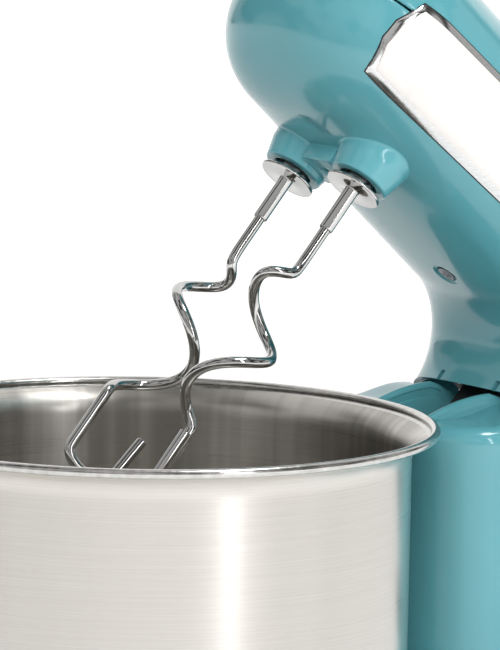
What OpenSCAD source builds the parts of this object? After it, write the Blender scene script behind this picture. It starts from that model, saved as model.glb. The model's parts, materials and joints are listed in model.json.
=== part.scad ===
// Tilt-head stand mixer with two dough hooks, a steel bowl on a turntable and a hinged head.
// Millimetres, +Z up, the nose of the head points to -Y. The head stands open at rest.

/* [Head] */
// Angle between the open and the closed head, degrees
tilt = 41.12; // [30:1:42]
// Half width of the head
head_w = 59; // [55:1:62]
// Height of the head's underside above the table when closed
deck_z = 207.5; // [206:0.5:209]
// Depth of the head below its widest line
head_low = 46.5; // [45:0.5:48]
// Height of the head above its widest line
head_up = 45; // [42:1:50]
// Distance of the nose tip in front of the bowl's axis
nose_y = 68; // [64:1:72]
// Wall of the plastic shells
wall = 2.6; // [2:0.2:3]

/* [Spindles and hooks] */
// Distance between the two spindles
spindle_gap = 44.8; // [44:0.2:46]
// Distance of the spindles behind the bowl's axis
spindle_y = 9.1; // [6:0.1:12]
// Height of the hook collars when the head is closed
collar_z = 193.4; // [192:0.1:195]
// Wire radius of a hook
wire_r = 2.3; // [2:0.1:2.5]
// Radius of a hook's spiral
hook_r = 11.7; // [10:0.1:12]

/* [Bowl] */
// Radius of the bowl's rolled rim, to the middle of the roll
rim_r = 120; // [118:1:124]
// Height of the rim above the table
rim_z = 176; // [170:1:178]
// Sheet thickness of the bowl
bowl_wall = 1.2; // [0.8:0.1:1.6]

/* [Stand] */
// Half width of the stand's foot
foot_w = 92; // [86:1:100]
// Height of the stand's foot
foot_h = 22; // [22:1:24]
// Half width of the column
column_w = 56; // [52:1:57]
// Height of the column's flat top
column_z = 170; // [166:1:171]

/* [Hidden] */

$fn = 48;
teal = "#5c969e";
teal_dark = "#3f757e";
trim_white = "#f0ebe8";
steel = "#b8b8b4";
chrome = "#d8d8d8";
dark = "#2c2e30";
copper = "#b4693a";
brass = "#c8a24a";
cream = "#d8d2c0";

// Hinge pin of the head
pivot = [0, 152, 126];
// Puts the middle of the open mixer's outline over the origin
body_shift = -73.85;
spindle_x = spindle_gap / 2;
mid_z = deck_z + head_low;
// Squareness of the lower half of the head's section, 2 is an ellipse
low_shape = 2.65;
// Middle of the bend from the head down into the neck
bend_y = 104;
bend_z = 181;
bend_r = mid_z - bend_z;
nose_len = 48;
nose_start = nose_len - nose_y;
// The neck's lower edge stays this far from the hinge pin
neck_clear = 57;
tail_z = 140;
shaft_z = 238;
socket_r = 8.8;
socket_z = 197.9;
skirt_r = 16.5;
bridge_w = 9.8;
notch_x = 18.5;
tube_r = 7;
shank_r = 3;
// Clearances: hook shank in its bore, running fits, fixed parts side by side
bore_gap = 0.06;
run_gap = 0.05;
slit = 0.3;
pin_r = 4;
bearing_r = 8;
worm_core_r = 3;
screw_head_r = 4;
case_w = 41;
case_d = 19.5;
case_z = 220.9;
case_split_z = 242.9;
case_top_z = 252;
case_wall = 1.6;
gear_r = 16.6;
gear_root = 14.2;
teeth = 26;
crest_r = 5.5;
motor_y = 62;
motor_len = 52;
motor_r = 26.5;
coil_x = 20.2;
knob_y = 84;
knob_z = 244;
release_z = 92;
release_y = 164;
column_y = 160.5;
column_d = 37.5;
drum_r = 53;
slot_w = 18.5;
rib_w = 3;
slot_floor = 108;
foot_y = 64;
foot_d = 168;
cover_z = 3;
recess_r = 80;
recess_z = 16;
table_z = 24;
bowl_z = 30;
ring_r = 60;
foot_spots = [[-62, -66], [62, -66], [-62, 196], [62, 196]];

// ---- placing ----
module placed() { translate([0, body_shift, 0]) children(); }
module on_head() { placed() translate(pivot) rotate([-tilt, 0, 0]) translate(-pivot) children(); }
module on_shaft(y) { translate([0, y, shaft_z]) rotate([-90, 0, 0]) children(); }
module spindles() { for (s = [-1, 1]) translate([s * spindle_x, spindle_y, 0]) children(); }
module ring(r_out, r_in, h) {
    difference() {
        cylinder(r = r_out, h = h);
        translate([0, 0, -1]) cylinder(r = r_in, h = h + 2);
    }
}
module along_x(x, y, z) { translate([x, y, z]) rotate([0, 90, 0]) children(); }

// ---- outlines ----
function superellipse(a, b, n, steps) =
    [for (i = [0 : steps - 1]) let (t = 360 * i / steps, c = cos(t), s = sin(t))
        [a * sign(c) * pow(abs(c), 2 / n), b * sign(s) * pow(abs(s), 2 / n)]];

// ---- shell lofts: rings run from the nose, along the head, round the bend and down the neck ----
nose_turns = [4, 20, 36, 52, 68, 84];
straight_ys = [-20, 20, 60, bend_y];
bend_turns = [15, 30, 45, 60, 75, 90];
nose_count = len(nose_turns);
straight_end = nose_count + len(straight_ys);
ring_count = straight_end + len(bend_turns) + 1;

// Section of the head at angle t, as its offsets across and up from the middle line
function section(t, inset) =
    let (low = sin(t) < 0, e = low ? 2 / low_shape : 1)
    [(head_w - inset) * sign(cos(t)) * pow(abs(cos(t)), e),
     ((low ? head_low : head_up) - inset) * sign(sin(t)) * pow(abs(sin(t)), e)];
// One point of the head's skin: ring i, section angle t, inset from the outer face
function skin_point(i, t, inset) =
    let (q = section(t, inset))
    i < nose_count
        ? let (s = sin(nose_turns[i]))
          [q[0] * s, nose_start - (nose_len - inset) * cos(nose_turns[i]), mid_z + q[1] * s]
        : i < straight_end
        ? [q[0], straight_ys[i - nose_count], mid_z + q[1]]
        : let (f = bend_turns[min(i - straight_end, len(bend_turns) - 1)], r = bend_r + q[1],
               y = bend_y + r * sin(f))
          [q[0], y, i < ring_count - 1 ? bend_z + r * cos(f) : neck_edge(y)];
// Height of the neck's lower edge: an arc round the hinge pin, then level
function neck_edge(y) =
    let (d = abs(y - pivot[1]))
    d < neck_clear
        ? max(tail_z, pivot[2] + sqrt(neck_clear * neck_clear - d * d))
        : tail_z;

// Closed plate between two inset faces of the skin
module skin_plate(rings, angles, outer, inner) {
    n = len(angles);
    m = 2 * n;
    points = [for (i = rings) each concat(
        [for (t = angles) skin_point(i, t, outer)],
        [for (k = [n - 1 : -1 : 0]) skin_point(i, angles[k], inner)])];
    last = (len(rings) - 1) * m;
    sides = [for (i = [0 : len(rings) - 2]) for (k = [0 : m - 1])
        let (a = i * m + k, b = i * m + (k + 1) % m) each [[a, b, b + m], [a, b + m, a + m]]];
    caps = [for (k = [0 : n - 2]) let (p = k, q = k + 1, r = m - 2 - k, s = m - 1 - k)
        each [[p, r, q], [p, s, r], [last + p, last + q, last + r], [last + p, last + r, last + s]]];
    polyhedron(points = points, faces = concat(sides, caps));
}
lower_angles = [for (t = [180 : 15 : 360]) t];
upper_angles = [for (t = [0 : 15 : 180]) t];
all_rings = [for (i = [0 : ring_count - 1]) i];
trim_rings = [for (i = [4 : straight_end + 2]) i];

module boss_cut(r) {
    spindles() translate([0, 0, deck_z - 12]) cylinder(r = r, h = 34);
    translate([-bridge_w, spindle_y - 10, deck_z - 12]) cube([2 * bridge_w, 20, 26]);
}
// Place of the screw under the head, and depth of its recess
deck_screw = [0, 90, deck_z];
screw_sink = 1.6;
module head_lower_shell() {
    color(teal) on_head() difference() {
        skin_plate(all_rings, lower_angles, 0, wall);
        boss_cut(skirt_r);
        for (s = [-1, 1]) translate([s * notch_x - 1.4, 120, 170]) cube([2.8, 20, 14]);
        translate(deck_screw - [0, 0, 2]) cylinder(r = 4.4, h = 2 + screw_sink);
        translate(deck_screw) cylinder(r = 1.7, h = 6);
        along_x(head_w - 10, knob_y, knob_z) cylinder(r = 4, h = 20);
    }
}
module head_upper_shell() {
    color(teal) on_head() difference() {
        skin_plate(all_rings, upper_angles, 0, wall);
        translate([0, spindle_y, mid_z + head_up - 8]) cylinder(r = 9.4, h = 12);
    }
}
module side_trim_right() {
    color(trim_white) on_head() difference() {
        skin_plate(trim_rings, [-30, -15, 0, 15], -1.2, 0);
        along_x(head_w - 10, knob_y, knob_z) cylinder(r = 6, h = 20);
    }
}
module side_trim_left() {
    color(trim_white) on_head() skin_plate(trim_rings, [165, 180, 195, 210], -1.2, 0);
}

// ---- the two spindle bosses under the nose ----
module spindle_housing() {
    color(teal_dark) on_head() difference() {
        union() {
            spindles() {
                translate([0, 0, socket_z]) cylinder(r1 = 13.6, r2 = skirt_r - slit, h = 9);
                translate([0, 0, socket_z + 9]) cylinder(r = skirt_r - slit, h = 12);
            }
            translate([slit - bridge_w, spindle_y - 9.7, socket_z + 2.5])
                cube([2 * (bridge_w - slit), 19.4, 15]);
        }
        spindles() translate([0, 0, socket_z - 1]) cylinder(r = socket_r, h = 30);
        spindles() translate([0, 0, socket_z + 13]) cylinder(r = skirt_r - 3, h = 20);
        translate([0, spindle_y, socket_z]) cylinder(r = 3, h = 8);
    }
}
module spindle_bushes() {
    color(brass) on_head() spindles() {
        translate([0, 0, socket_z + 7]) ring(socket_r, tube_r + run_gap, 16);
        translate([0, 0, shaft_z + 8]) ring(socket_r, tube_r + run_gap, 6);
    }
}
module spindle_seals() {
    color(dark) on_head() spindles() translate([0, 0, socket_z + 4.5]) ring(socket_r, tube_r + 0.1, 2.4);
}

// ---- head internals ----
module case_block(inset, low, high) {
    translate([inset - case_w, spindle_y + inset - case_d, low])
        cube([2 * (case_w - inset), 2 * (case_d - inset), high - low]);
}
module gearbox_housing() {
    color("silver") on_head() difference() {
        case_block(0, case_z, case_split_z);
        case_block(case_wall, case_z + 3, case_split_z + 1);
        spindles() translate([0, 0, case_z - 1]) cylinder(r = socket_r, h = 10);
        on_shaft(spindle_y - case_d - 1) cylinder(r = bearing_r, h = 2 * case_d + 2);
    }
}
module gearbox_cover() {
    color("darkgray") on_head() difference() {
        case_block(0, case_split_z, case_top_z);
        case_block(case_wall, case_split_z - 1, case_split_z + 3.1);
        spindles() translate([0, 0, case_split_z - 1]) cylinder(r = socket_r, h = 20);
        on_shaft(spindle_y - case_d - 1) cylinder(r = bearing_r, h = 2 * case_d + 2);
    }
}
module shaft_bearings() {
    color(steel) on_head() {
        on_shaft(spindle_y - case_d) ring(bearing_r, worm_core_r + run_gap, 5);
        on_shaft(spindle_y + case_d - 5) ring(bearing_r, worm_core_r + run_gap, 5);
        on_shaft(motor_y + motor_len + 8) ring(bearing_r, worm_core_r + run_gap, 6);
    }
}
module motor_stator() {
    color("dimgray") on_head() on_shaft(motor_y + 8) difference() {
        cylinder(r = motor_r, h = motor_len - 22);
        translate([0, 0, -1]) cylinder(r = 16.6, h = motor_len);
        for (s = [-1, 1]) translate([-10.5, s * coil_x - 3.2, -1]) cube([21, 6.4, motor_len]);
    }
}
module field_coils() {
    color(copper) on_head() on_shaft(motor_y + 3) for (s = [-1, 1])
        translate([-9.9, s * coil_x - 2.8, 0]) cube([19.8, 5.6, motor_len - 12]);
}
module motor_bracket(y) {
    on_shaft(y) difference() {
        union() {
            cylinder(r = motor_r, h = 2.5);
            cylinder(r = 11, h = 6);
        }
        translate([0, 0, -1]) cylinder(r = bearing_r, h = 10);
        for (a = [0, 180]) rotate([0, 0, a]) translate([-10, 15, -1]) cube([20, 8, 5]);
    }
}
module motor_front_bracket() { color("silver") on_head() motor_bracket(motor_y - 3); }
module motor_rear_bracket() { color("silver") on_head() motor_bracket(motor_y + motor_len + 8); }
module brush_holders() {
    color(dark) on_head() on_shaft(motor_y + motor_len - 6) for (s = [-1, 1]) difference() {
        translate([s * 17.5 - 7.5, -4.5, 0]) cube([15, 9, 9]);
        translate([s * 17.5 - 9, -3, 1.5]) cube([18, 6, 6]);
    }
}
module carbon_brushes() {
    color("#1b1b1b") on_head() on_shaft(motor_y + motor_len - 4.4) for (s = [-1, 1])
        translate([s * 15.2 - 6, -2.9, 0]) cube([12, 5.8, 5.8]);
}
module worm_shaft() {
    color(chrome) on_head() {
        on_shaft(-14) cylinder(r = worm_core_r, h = motor_y + motor_len + 30);
        on_shaft(spindle_y - 12) for (k = [0 : 8])
            translate([0, 0, k * 2.7]) ring(crest_r, worm_core_r - 0.1, 1.5);
        on_shaft(spindle_y - 12) ring(4.2, worm_core_r - 0.1, 23.1);
    }
}
module armature() {
    color("gray") on_head() on_shaft(motor_y + 9) difference() {
        ring(15.5, worm_core_r, 26);
        for (k = [0 : 11]) rotate([0, 0, k * 30]) translate([12, -1.2, -1]) cube([6, 2.4, 28]);
    }
}
module commutator() {
    color(copper) on_head() on_shaft(motor_y + 38) ring(9, worm_core_r, 14);
}
module cooling_fan() {
    color("black") on_head() on_shaft(motor_y - 15.5) {
        ring(6, worm_core_r, 9);
        ring(23, 5.9, 1.6);
        for (k = [0 : 8]) rotate([0, 0, k * 40]) translate([5.6, -0.8, 1.5]) cube([17, 1.6, 7]);
    }
}
module gear(side) {
    translate([side * spindle_x, spindle_y, shaft_z - 3]) difference() {
        union() {
            cylinder(r = gear_root, h = 6);
            for (k = [0 : teeth - 1]) rotate([0, 0, 360 * k / teeth]) translate([gear_root - 1, -0.9, 0])
                cube([gear_r - gear_root + 1, 1.8, 6]);
        }
        translate([0, 0, -1]) cylinder(r = tube_r, h = 8);
    }
}
module gear_right() { color(cream) on_head() gear(1); }
module gear_left() { color(cream) on_head() gear(-1); }
module spindle(side) {
    translate([side * spindle_x, spindle_y, socket_z - 0.5]) difference() {
        cylinder(r = tube_r, h = 54);
        translate([0, 0, -1]) cylinder(r = shank_r + bore_gap, h = 60);
        for (a = [0, 90]) rotate([0, 0, a]) translate([-tube_r - 1, -1.1, -1]) cube([2 * tube_r + 2, 2.2, 7]);
    }
}
module spindle_right() { color(steel) on_head() spindle(1); }
module spindle_left() { color(steel) on_head() spindle(-1); }
module hinge_arm() {
    color(dark) on_head() difference() {
        union() {
            hull() {
                along_x(-15, pivot[1], pivot[2]) cylinder(r = 12, h = 30, $fn = 32);
                translate([-15, 142, 186]) cube([30, 26, 4]);
            }
            translate([-24, 136, 190]) cube([48, 36, 14]);
        }
        along_x(-20, pivot[1], pivot[2]) cylinder(r = pin_r + 2, h = 40);
    }
}
module hinge_bushes() {
    color(brass) on_head() for (x = [-15, 10])
        along_x(x, pivot[1], pivot[2]) ring(pin_r + 2, pin_r + run_gap, 5);
}
module speed_switch() {
    color("darkslategray") on_head() difference() {
        along_x(36, knob_y, knob_z) cylinder(r = 12, h = 14);
        along_x(44, knob_y, knob_z) cylinder(r = 3.1, h = 14);
    }
}
module speed_board() {
    color("darkgreen") on_head() {
        translate([-30, 52, 272]) cube([60, 56, 1.6]);
        translate([-22, 60, 273.6]) cube([14, 20, 9]);
        translate([6, 62, 273.6]) cube([12, 12, 11]);
        translate([0, 92, 273.6]) cylinder(r = 5, h = 10);
    }
}
module tilt_switch() {
    color("black") on_head() translate([-36, 142, 190]) cube([9, 20, 10]);
}
module shell_screws() {
    color(steel) on_head() {
        translate(deck_screw + [0, 0, 0.4]) cylinder(r = screw_head_r, h = screw_sink - 0.4);
        translate(deck_screw + [0, 0, screw_sink]) cylinder(r = 1.6, h = 2.2);
        for (s = [-1, 1]) translate([s * 20, 150, 204]) cylinder(r = screw_head_r, h = 2);
    }
}
module eject_spring() {
    color(steel) on_head() for (k = [0 : 4]) translate([0, spindle_y, 264 + k * 4.5]) ring(7.6, 6.4, 1.2);
}
module eject_button() {
    color(trim_white) on_head() {
        translate([0, spindle_y, 288.5]) cylinder(r = 9, h = 14);
        translate([0, spindle_y, 262]) cylinder(r = 5, h = 26.5);
    }
}
module eject_yoke() {
    color(dark) on_head() {
        translate([-27, spindle_y - 5, 259]) cube([54, 10, 3]);
        spindles() translate([0, 0, 242.5]) cylinder(r = 2.6, h = 16.5);
    }
}
module speed_knob() {
    color(trim_white) on_head() {
        along_x(head_w + 1.6, knob_y, knob_z) difference() {
            cylinder(r = 15, h = 11);
            translate([0, 12.5, 9.5]) cylinder(r = 1.2, h = 3);
        }
        along_x(44.5, knob_y, knob_z) cylinder(r = 3, h = 17);
    }
}

// ---- dough hooks ----
// Depths below the collar: start and end of the spiral, foot and tip of the hook
hook_bend = 47.7;
hook_straight = 120.1;
hook_foot = 148.65;
// Turn of the spiral in degrees, length over which it opens out, reach of the returning end
hook_turn = 500.4;
hook_ramp = 10;
hook_back = 10.36;
hook_drop = 6.85;
hook_tip = 129.8;
hook_end_right = 141.7;
hook_end_left = 242.3;
function smooth(x) = let (u = min(1, max(0, x))) u * u * (3 - 2 * u);
function hook_spiral(z, side, last) =
    let (r = hook_r * smooth((z - hook_bend + hook_ramp / 2) / hook_ramp),
         k = min(1, max(-0.3, (z - hook_bend) / (hook_straight - hook_bend))),
         t = last + side * hook_turn * (1 - k))
    [r * cos(t), r * sin(t), -z];
function hook_radial(r, depth, last) = [r * cos(last), r * sin(last), -depth];
function hook_path(side, last) = concat(
    [[0, 0, -1], [0, 0, -40]],
    [for (z = [hook_bend - 5 : 2.2 : hook_foot]) hook_spiral(z, side, last)],
    [for (a = [15 : 15 : 165])
        hook_radial((hook_r - hook_back) / 2 + (hook_r + hook_back) / 2 * cos(a),
            hook_foot + hook_drop * sin(a), last)],
    [for (z = [hook_foot, hook_tip]) hook_radial(-hook_back - 0.09 * (hook_foot - z), z, last)]);
function unit(v) = v / norm(v);
function tangent(p, i) = unit(p[min(i + 1, len(p) - 1)] - p[max(i - 1, 0)]);
function carried(n, t) = unit(n - (n * t) * t);
// Tube of n sides along a path, its rings turned as little as possible
module tube(p, r, n) {
    sides = [for (i = 0, a = [1, 0, 0]; i < len(p);
                  i = i + 1, a = carried(a, tangent(p, min(i, len(p) - 1))))
        carried(a, tangent(p, i))];
    points = [for (i = [0 : len(p) - 1]) let (a = sides[i], b = cross(tangent(p, i), a))
        for (k = [0 : n - 1]) p[i] + r * (cos(360 * k / n) * a + sin(360 * k / n) * b)];
    last = (len(p) - 1) * n;
    faces = concat(
        [[for (k = [0 : n - 1]) k]],
        [[for (k = [n - 1 : -1 : 0]) last + k]],
        [for (i = [0 : len(p) - 2]) for (k = [0 : n - 1])
            let (a = i * n + k, b = i * n + (k + 1) % n) each [[a, b + n, b], [a, a + n, b + n]]]);
    polyhedron(points = points, faces = faces);
}
module hook_wire(side, last) {
    on_head() translate([side * spindle_x, spindle_y, collar_z]) tube(hook_path(side, last), wire_r, 8);
}
module hook_collar(side) {
    on_head() translate([side * spindle_x, spindle_y, collar_z]) {
        difference() {
            union() {
                cylinder(r = 12.5, h = 1.5);
                translate([0, 0, -21]) cylinder(r = 3.05, h = 21.5);
                cylinder(r = shank_r, h = 44);
            }
            translate([0, 0, -22]) cylinder(r = wire_r + 0.02, h = 21);
        }
        for (a = [0, 90]) rotate([0, 0, a]) translate([-5.4, -0.9, 5]) cube([10.8, 1.8, 5]);
    }
}
module hook_wire_right() { color(chrome) hook_wire(1, hook_end_right); }
module hook_wire_left() { color(chrome) hook_wire(-1, hook_end_left); }
module hook_collar_right() { color(chrome) hook_collar(1); }
module hook_collar_left() { color(chrome) hook_collar(-1); }

// ---- bowl and turntable ----
bowl_r = 110.4;
corner_r = 50;
roll_r = 2.05;
flare_z = 165;
// Face of the bowl, from the middle of its floor up to the rolled rim, t in from the outside
function bowl_outline(t) = concat(
    [[0, bowl_z + t]],
    [for (a = [-90 : 10 : 0]) let (r = corner_r - t)
        [bowl_r - corner_r + r * cos(a), bowl_z + corner_r + r * sin(a)]],
    [for (a = [0 : 15 : 75]) [bowl_r + 9 - t - 9 * cos(a), flare_z + 9 * sin(a)]],
    [[rim_r - roll_r * 0.3, rim_z - roll_r * 0.3 + t]]);
function backwards(p) = [for (i = [len(p) - 1 : -1 : 0]) p[i]];
module bowl() {
    color(steel) placed() rotate_extrude($fn = 96) {
        polygon(concat(bowl_outline(0), backwards(bowl_outline(bowl_wall))));
        translate([rim_r, rim_z]) circle(r = roll_r);
    }
}
lug_turns = [0, 120, 240];
module bowl_foot_ring() {
    color(steel) placed() {
        translate([0, 0, table_z]) ring(ring_r, ring_r - 5, bowl_z - table_z);
        for (a = lug_turns) rotate([0, 0, a]) translate([ring_r - 1, -5, table_z]) cube([7, 10, 4]);
    }
}
module turntable() {
    color(teal_dark) placed() difference() {
        union() {
            translate([0, 0, recess_z + 0.6]) cylinder(r = recess_r - 2, h = table_z - recess_z - 0.6);
            translate([0, 0, table_z]) ring(ring_r + 8, ring_r + 2, 5);
        }
        cylinder(r = 9, h = 40);
        for (a = lug_turns) rotate([0, 0, a]) translate([ring_r, -5.4, table_z]) cube([10, 10.8, 6]);
    }
}
module turntable_bush() {
    color(brass) placed() translate([0, 0, recess_z + 0.6]) ring(9, 6 + run_gap, table_z - recess_z - 0.8);
}
module turntable_axle() {
    color(steel) placed() translate([0, 0, 6]) cylinder(r = 6, h = 17.5);
}

// ---- stand ----
module foot_plan(inset) {
    translate([0, foot_y]) polygon(superellipse(foot_w - inset, foot_d - inset, 3.2, 64));
}
module column_plan(inset) {
    translate([0, column_y]) polygon(superellipse(column_w - inset, column_d - inset, 3, 48));
}
module column_side(inset) {
    translate([-70, 100, 0]) cube([140, pivot[1] - 100, column_z - inset]);
    translate([-70, 100, 0]) cube([140, 120, pivot[2]]);
    along_x(-70, pivot[1], pivot[2]) cylinder(r = drum_r - inset, h = 140, $fn = 96);
}
module column(inset) {
    intersection() {
        translate([0, 0, foot_h - 3]) linear_extrude(column_z - foot_h + 3 - inset) column_plan(inset);
        column_side(inset);
    }
}
// Outline of the two ribs beside the hinge channel, as Y and Z
rib_side = [[127, slot_floor - 3], [127, 168], [136, 172.3], [155.6, 177.7], [168, 178.7], [185, 170],
            [198, 155], [201, 140], [201, slot_floor - 3]];
module rib(x) {
    translate([x, 0, 0]) rotate([90, 0, 90]) linear_extrude(rib_w) polygon(rib_side);
}
module base_shell() {
    color(teal) placed() difference() {
        union() {
            difference() {
                union() {
                    translate([0, 0, cover_z]) linear_extrude(foot_h - cover_z) foot_plan(0);
                    column(0);
                }
                translate([0, 0, cover_z - 1]) linear_extrude(foot_h - cover_z - 2) foot_plan(3);
                translate([0, 0, -1]) column(3);
                translate([0, 0, foot_h - 4]) linear_extrude(6) column_plan(3);
                translate([0, 0, recess_z]) cylinder(r = recess_r, h = 10);
                translate([-slot_w, 126, slot_floor]) cube([2 * slot_w, 90, 90]);
            }
            translate([0, 0, recess_z - 3]) ring(recess_r + 3, recess_r, foot_h - recess_z + 3);
            translate([0, 0, recess_z - 3]) ring(recess_r + 1, 6, 3);
            translate([0, 0, cover_z + 2.5]) ring(12, 6, recess_z - cover_z - 2.5);
            difference() {
                translate([-slot_w - rib_w, 127, slot_floor - 3]) cube([2 * (slot_w + rib_w), 74, 3]);
                translate([0, column_y, 0]) cylinder(r = 4, h = 200);
            }
            rib(slot_w);
            rib(-slot_w - rib_w);
        }
        along_x(-30, pivot[1], pivot[2]) cylinder(r = pin_r, h = 60);
        along_x(0, release_y, release_z) cylinder(r = 11.3, h = 80);
        translate([0, 220, 12]) rotate([-90, 0, 0]) cylinder(r = 6, h = 20);
    }
}
module base_cover() {
    color(dark) placed() translate([0, 0, cover_z]) difference() {
        linear_extrude(2.5) foot_plan(3.2);
        for (p = foot_spots) translate([p[0], p[1], -1]) cylinder(r = 6, h = 5);
        for (s = [-1, 1]) for (y = [-30, 120]) translate([s * 60, y, -1]) cylinder(r = 2, h = 5);
    }
}
module rubber_feet() {
    color("#222222") placed() for (p = foot_spots) translate([p[0], p[1], 0]) {
        cylinder(r = 11, h = 3);
        cylinder(r = 6, h = 7);
    }
}
module base_screws() {
    color(steel) placed() for (s = [-1, 1]) for (y = [-30, 120]) translate([s * 60, y, 1.4]) {
        cylinder(r = screw_head_r, h = 1.6);
        cylinder(r = 1.9, h = 10);
    }
}
module hinge_pin() {
    color(chrome) placed() along_x(-30, pivot[1], pivot[2]) cylinder(r = pin_r, h = 60);
}
module hinge_brackets() {
    color("darkgray") placed() for (s = [-1, 1]) difference() {
        translate([s * 23.5 - 2, pivot[1] - 14, 104]) cube([4, 28, 36]);
        along_x(-40, pivot[1], pivot[2]) cylinder(r = pin_r, h = 80);
    }
}
module release_button() {
    color(dark) placed() {
        along_x(45, release_y, release_z) cylinder(r = 11, h = 15);
        along_x(25, release_y, release_z) cylinder(r = 4, h = 20);
    }
}
module latch_spring() {
    color(steel) placed() for (k = [0 : 3]) along_x(26 + 4.2 * k, release_y, release_z) ring(6, 4.8, 1);
}
module latch_guide() {
    color(steel) placed() difference() {
        translate([22, release_y - 9, release_z - 9]) cube([4, 18, 18]);
        along_x(20, release_y, release_z) cylinder(r = 4.6, h = 10);
    }
}
module cord_gland() {
    color(dark) placed() translate([0, 224, 12]) rotate([-90, 0, 0]) {
        difference() {
            union() {
                cylinder(r = 6, h = 8);
                translate([0, 0, 8]) cylinder(r = 7.5, h = 4);
            }
            translate([0, 0, -1]) cylinder(r = 3.5, h = 20);
        }
    }
}
module terminal_block() {
    color(cream) placed() difference() {
        translate([-16, 196, 5.5]) cube([32, 14, 10]);
        for (x = [-9, 0, 9]) translate([x, 203, 10]) cylinder(r = 2, h = 8);
    }
}

base_shell();
base_cover();
rubber_feet();
base_screws();
hinge_pin();
hinge_brackets();
turntable_axle();
latch_guide();
latch_spring();
cord_gland();
terminal_block();
turntable();
turntable_bush();
bowl();
bowl_foot_ring();
head_lower_shell();
head_upper_shell();
side_trim_right();
side_trim_left();
spindle_housing();
hinge_arm();
hinge_bushes();
gearbox_housing();
gearbox_cover();
spindle_bushes();
spindle_seals();
motor_stator();
field_coils();
motor_front_bracket();
motor_rear_bracket();
brush_holders();
carbon_brushes();
shaft_bearings();
speed_switch();
speed_board();
tilt_switch();
shell_screws();
eject_spring();
worm_shaft();
armature();
commutator();
cooling_fan();
spindle_right();
gear_right();
spindle_left();
gear_left();
hook_wire_right();
hook_collar_right();
hook_wire_left();
hook_collar_left();
speed_knob();
eject_button();
eject_yoke();
release_button();
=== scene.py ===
import json
import math

import bmesh
import bpy
import numpy as np
from mathutils import Matrix, Vector


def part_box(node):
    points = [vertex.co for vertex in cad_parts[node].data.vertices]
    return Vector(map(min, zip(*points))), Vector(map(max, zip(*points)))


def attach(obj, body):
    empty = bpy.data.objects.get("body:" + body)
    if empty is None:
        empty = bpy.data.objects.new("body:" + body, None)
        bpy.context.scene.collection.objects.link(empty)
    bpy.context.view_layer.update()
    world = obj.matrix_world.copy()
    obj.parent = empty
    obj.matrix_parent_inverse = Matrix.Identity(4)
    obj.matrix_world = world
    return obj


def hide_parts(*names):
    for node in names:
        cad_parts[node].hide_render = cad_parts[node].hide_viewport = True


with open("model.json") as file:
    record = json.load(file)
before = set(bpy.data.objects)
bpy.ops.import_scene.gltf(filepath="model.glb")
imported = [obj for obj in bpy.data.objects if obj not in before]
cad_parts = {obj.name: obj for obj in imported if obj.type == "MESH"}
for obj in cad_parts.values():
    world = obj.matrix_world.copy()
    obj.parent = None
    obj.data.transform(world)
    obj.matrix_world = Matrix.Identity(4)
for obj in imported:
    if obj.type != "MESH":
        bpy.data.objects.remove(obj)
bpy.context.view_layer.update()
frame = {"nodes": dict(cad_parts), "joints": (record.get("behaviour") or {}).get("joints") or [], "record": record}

# ---------------------------------------------------------------- frame ----
# Sizes below are millimetres. x is across, y is measured back from the bowl's
# axis and z up from the table. Head pieces are drawn with the head closed.
MM = 0.001
JOINTS = {j["name"]: j for j in frame["joints"]}
TILT = math.radians(JOINTS["head_tilt"]["range_deg"][1])
PIVOT = np.array(JOINTS["head_tilt"]["pos_m"]) / MM
bowl_low, bowl_high = (np.array(c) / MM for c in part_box("bowl"))
AXIS_Y = (bowl_low[1] + bowl_high[1]) / 2
PIVOT_Y, PIVOT_Z = PIVOT[1] - AXIS_Y, PIVOT[2]

ROLL_R = 2.05
RIM_R = (bowl_high[0] - bowl_low[0]) / 2 - ROLL_R
RIM_Z = bowl_high[2] - ROLL_R
BOWL_R = 110.4
BOWL_Z = bowl_low[2]
BOWL_WALL = 1.2

HEAD_W = 59.0
DECK_Z = 207.5
HEAD_LOW = 46.5
LOW_SHAPE = 2.65
HEAD_UP = 45.0
MID_Z = DECK_Z + HEAD_LOW
NOSE_Y = 68.0
NOSE_LEN = 48.0
BEND_Y = 104.0
BEND_Z = 181.0
BEND_R = MID_Z - BEND_Z
NECK_CLEAR = 57.0
TAIL_Z = 140.0
WALL = 2.6
SPINDLE_X = 22.4
SPINDLE_Y = 9.1
COLLAR_Z = 193.4
SOCKET_Z = 197.9
SOCKET_R = 8.8
SKIRT_R = 16.5
BRIDGE_W = 9.8
NOTCH_X = 18.5
SCREW_Y = 90.0
KNOB_X = HEAD_W + 1.6
KNOB_Y = 84.0
KNOB_Z = 244.0

COLUMN_W = 56.0
COLUMN_D = 37.5
COLUMN_Y = 160.5
COLUMN_Z = 170.0
DRUM_R = 53.0
SLOT_W = 18.5
RIB_W = 3.0
RIB_DROP = 34.0
SLOT_FLOOR = 108.0
FOOT_W = 92.0
FOOT_D = 168.0
FOOT_Y = 64.0
FOOT_H = 22.0
COVER_Z = 3.0
RECESS_R = 80.0
RECESS_Z = 16.0
RELEASE_X = 45.0
RELEASE_Y = 164.0
RELEASE_Z = 92.0


def to_stand(points):
    """Millimetres behind the bowl's axis to metres in the frame."""
    p = np.array(points, float).reshape(-1, 3)
    p[:, 1] += AXIS_Y
    return p * MM


def to_head(points):
    """The same for a head piece drawn closed: it is turned open about the hinge pin."""
    p = to_stand(points)
    centre = PIVOT * MM
    c, s = math.cos(TILT), math.sin(TILT)
    y, z = p[:, 1] - centre[1], p[:, 2] - centre[2]
    p[:, 1] = centre[1] + y * c + z * s
    p[:, 2] = centre[2] - y * s + z * c
    return p


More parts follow.
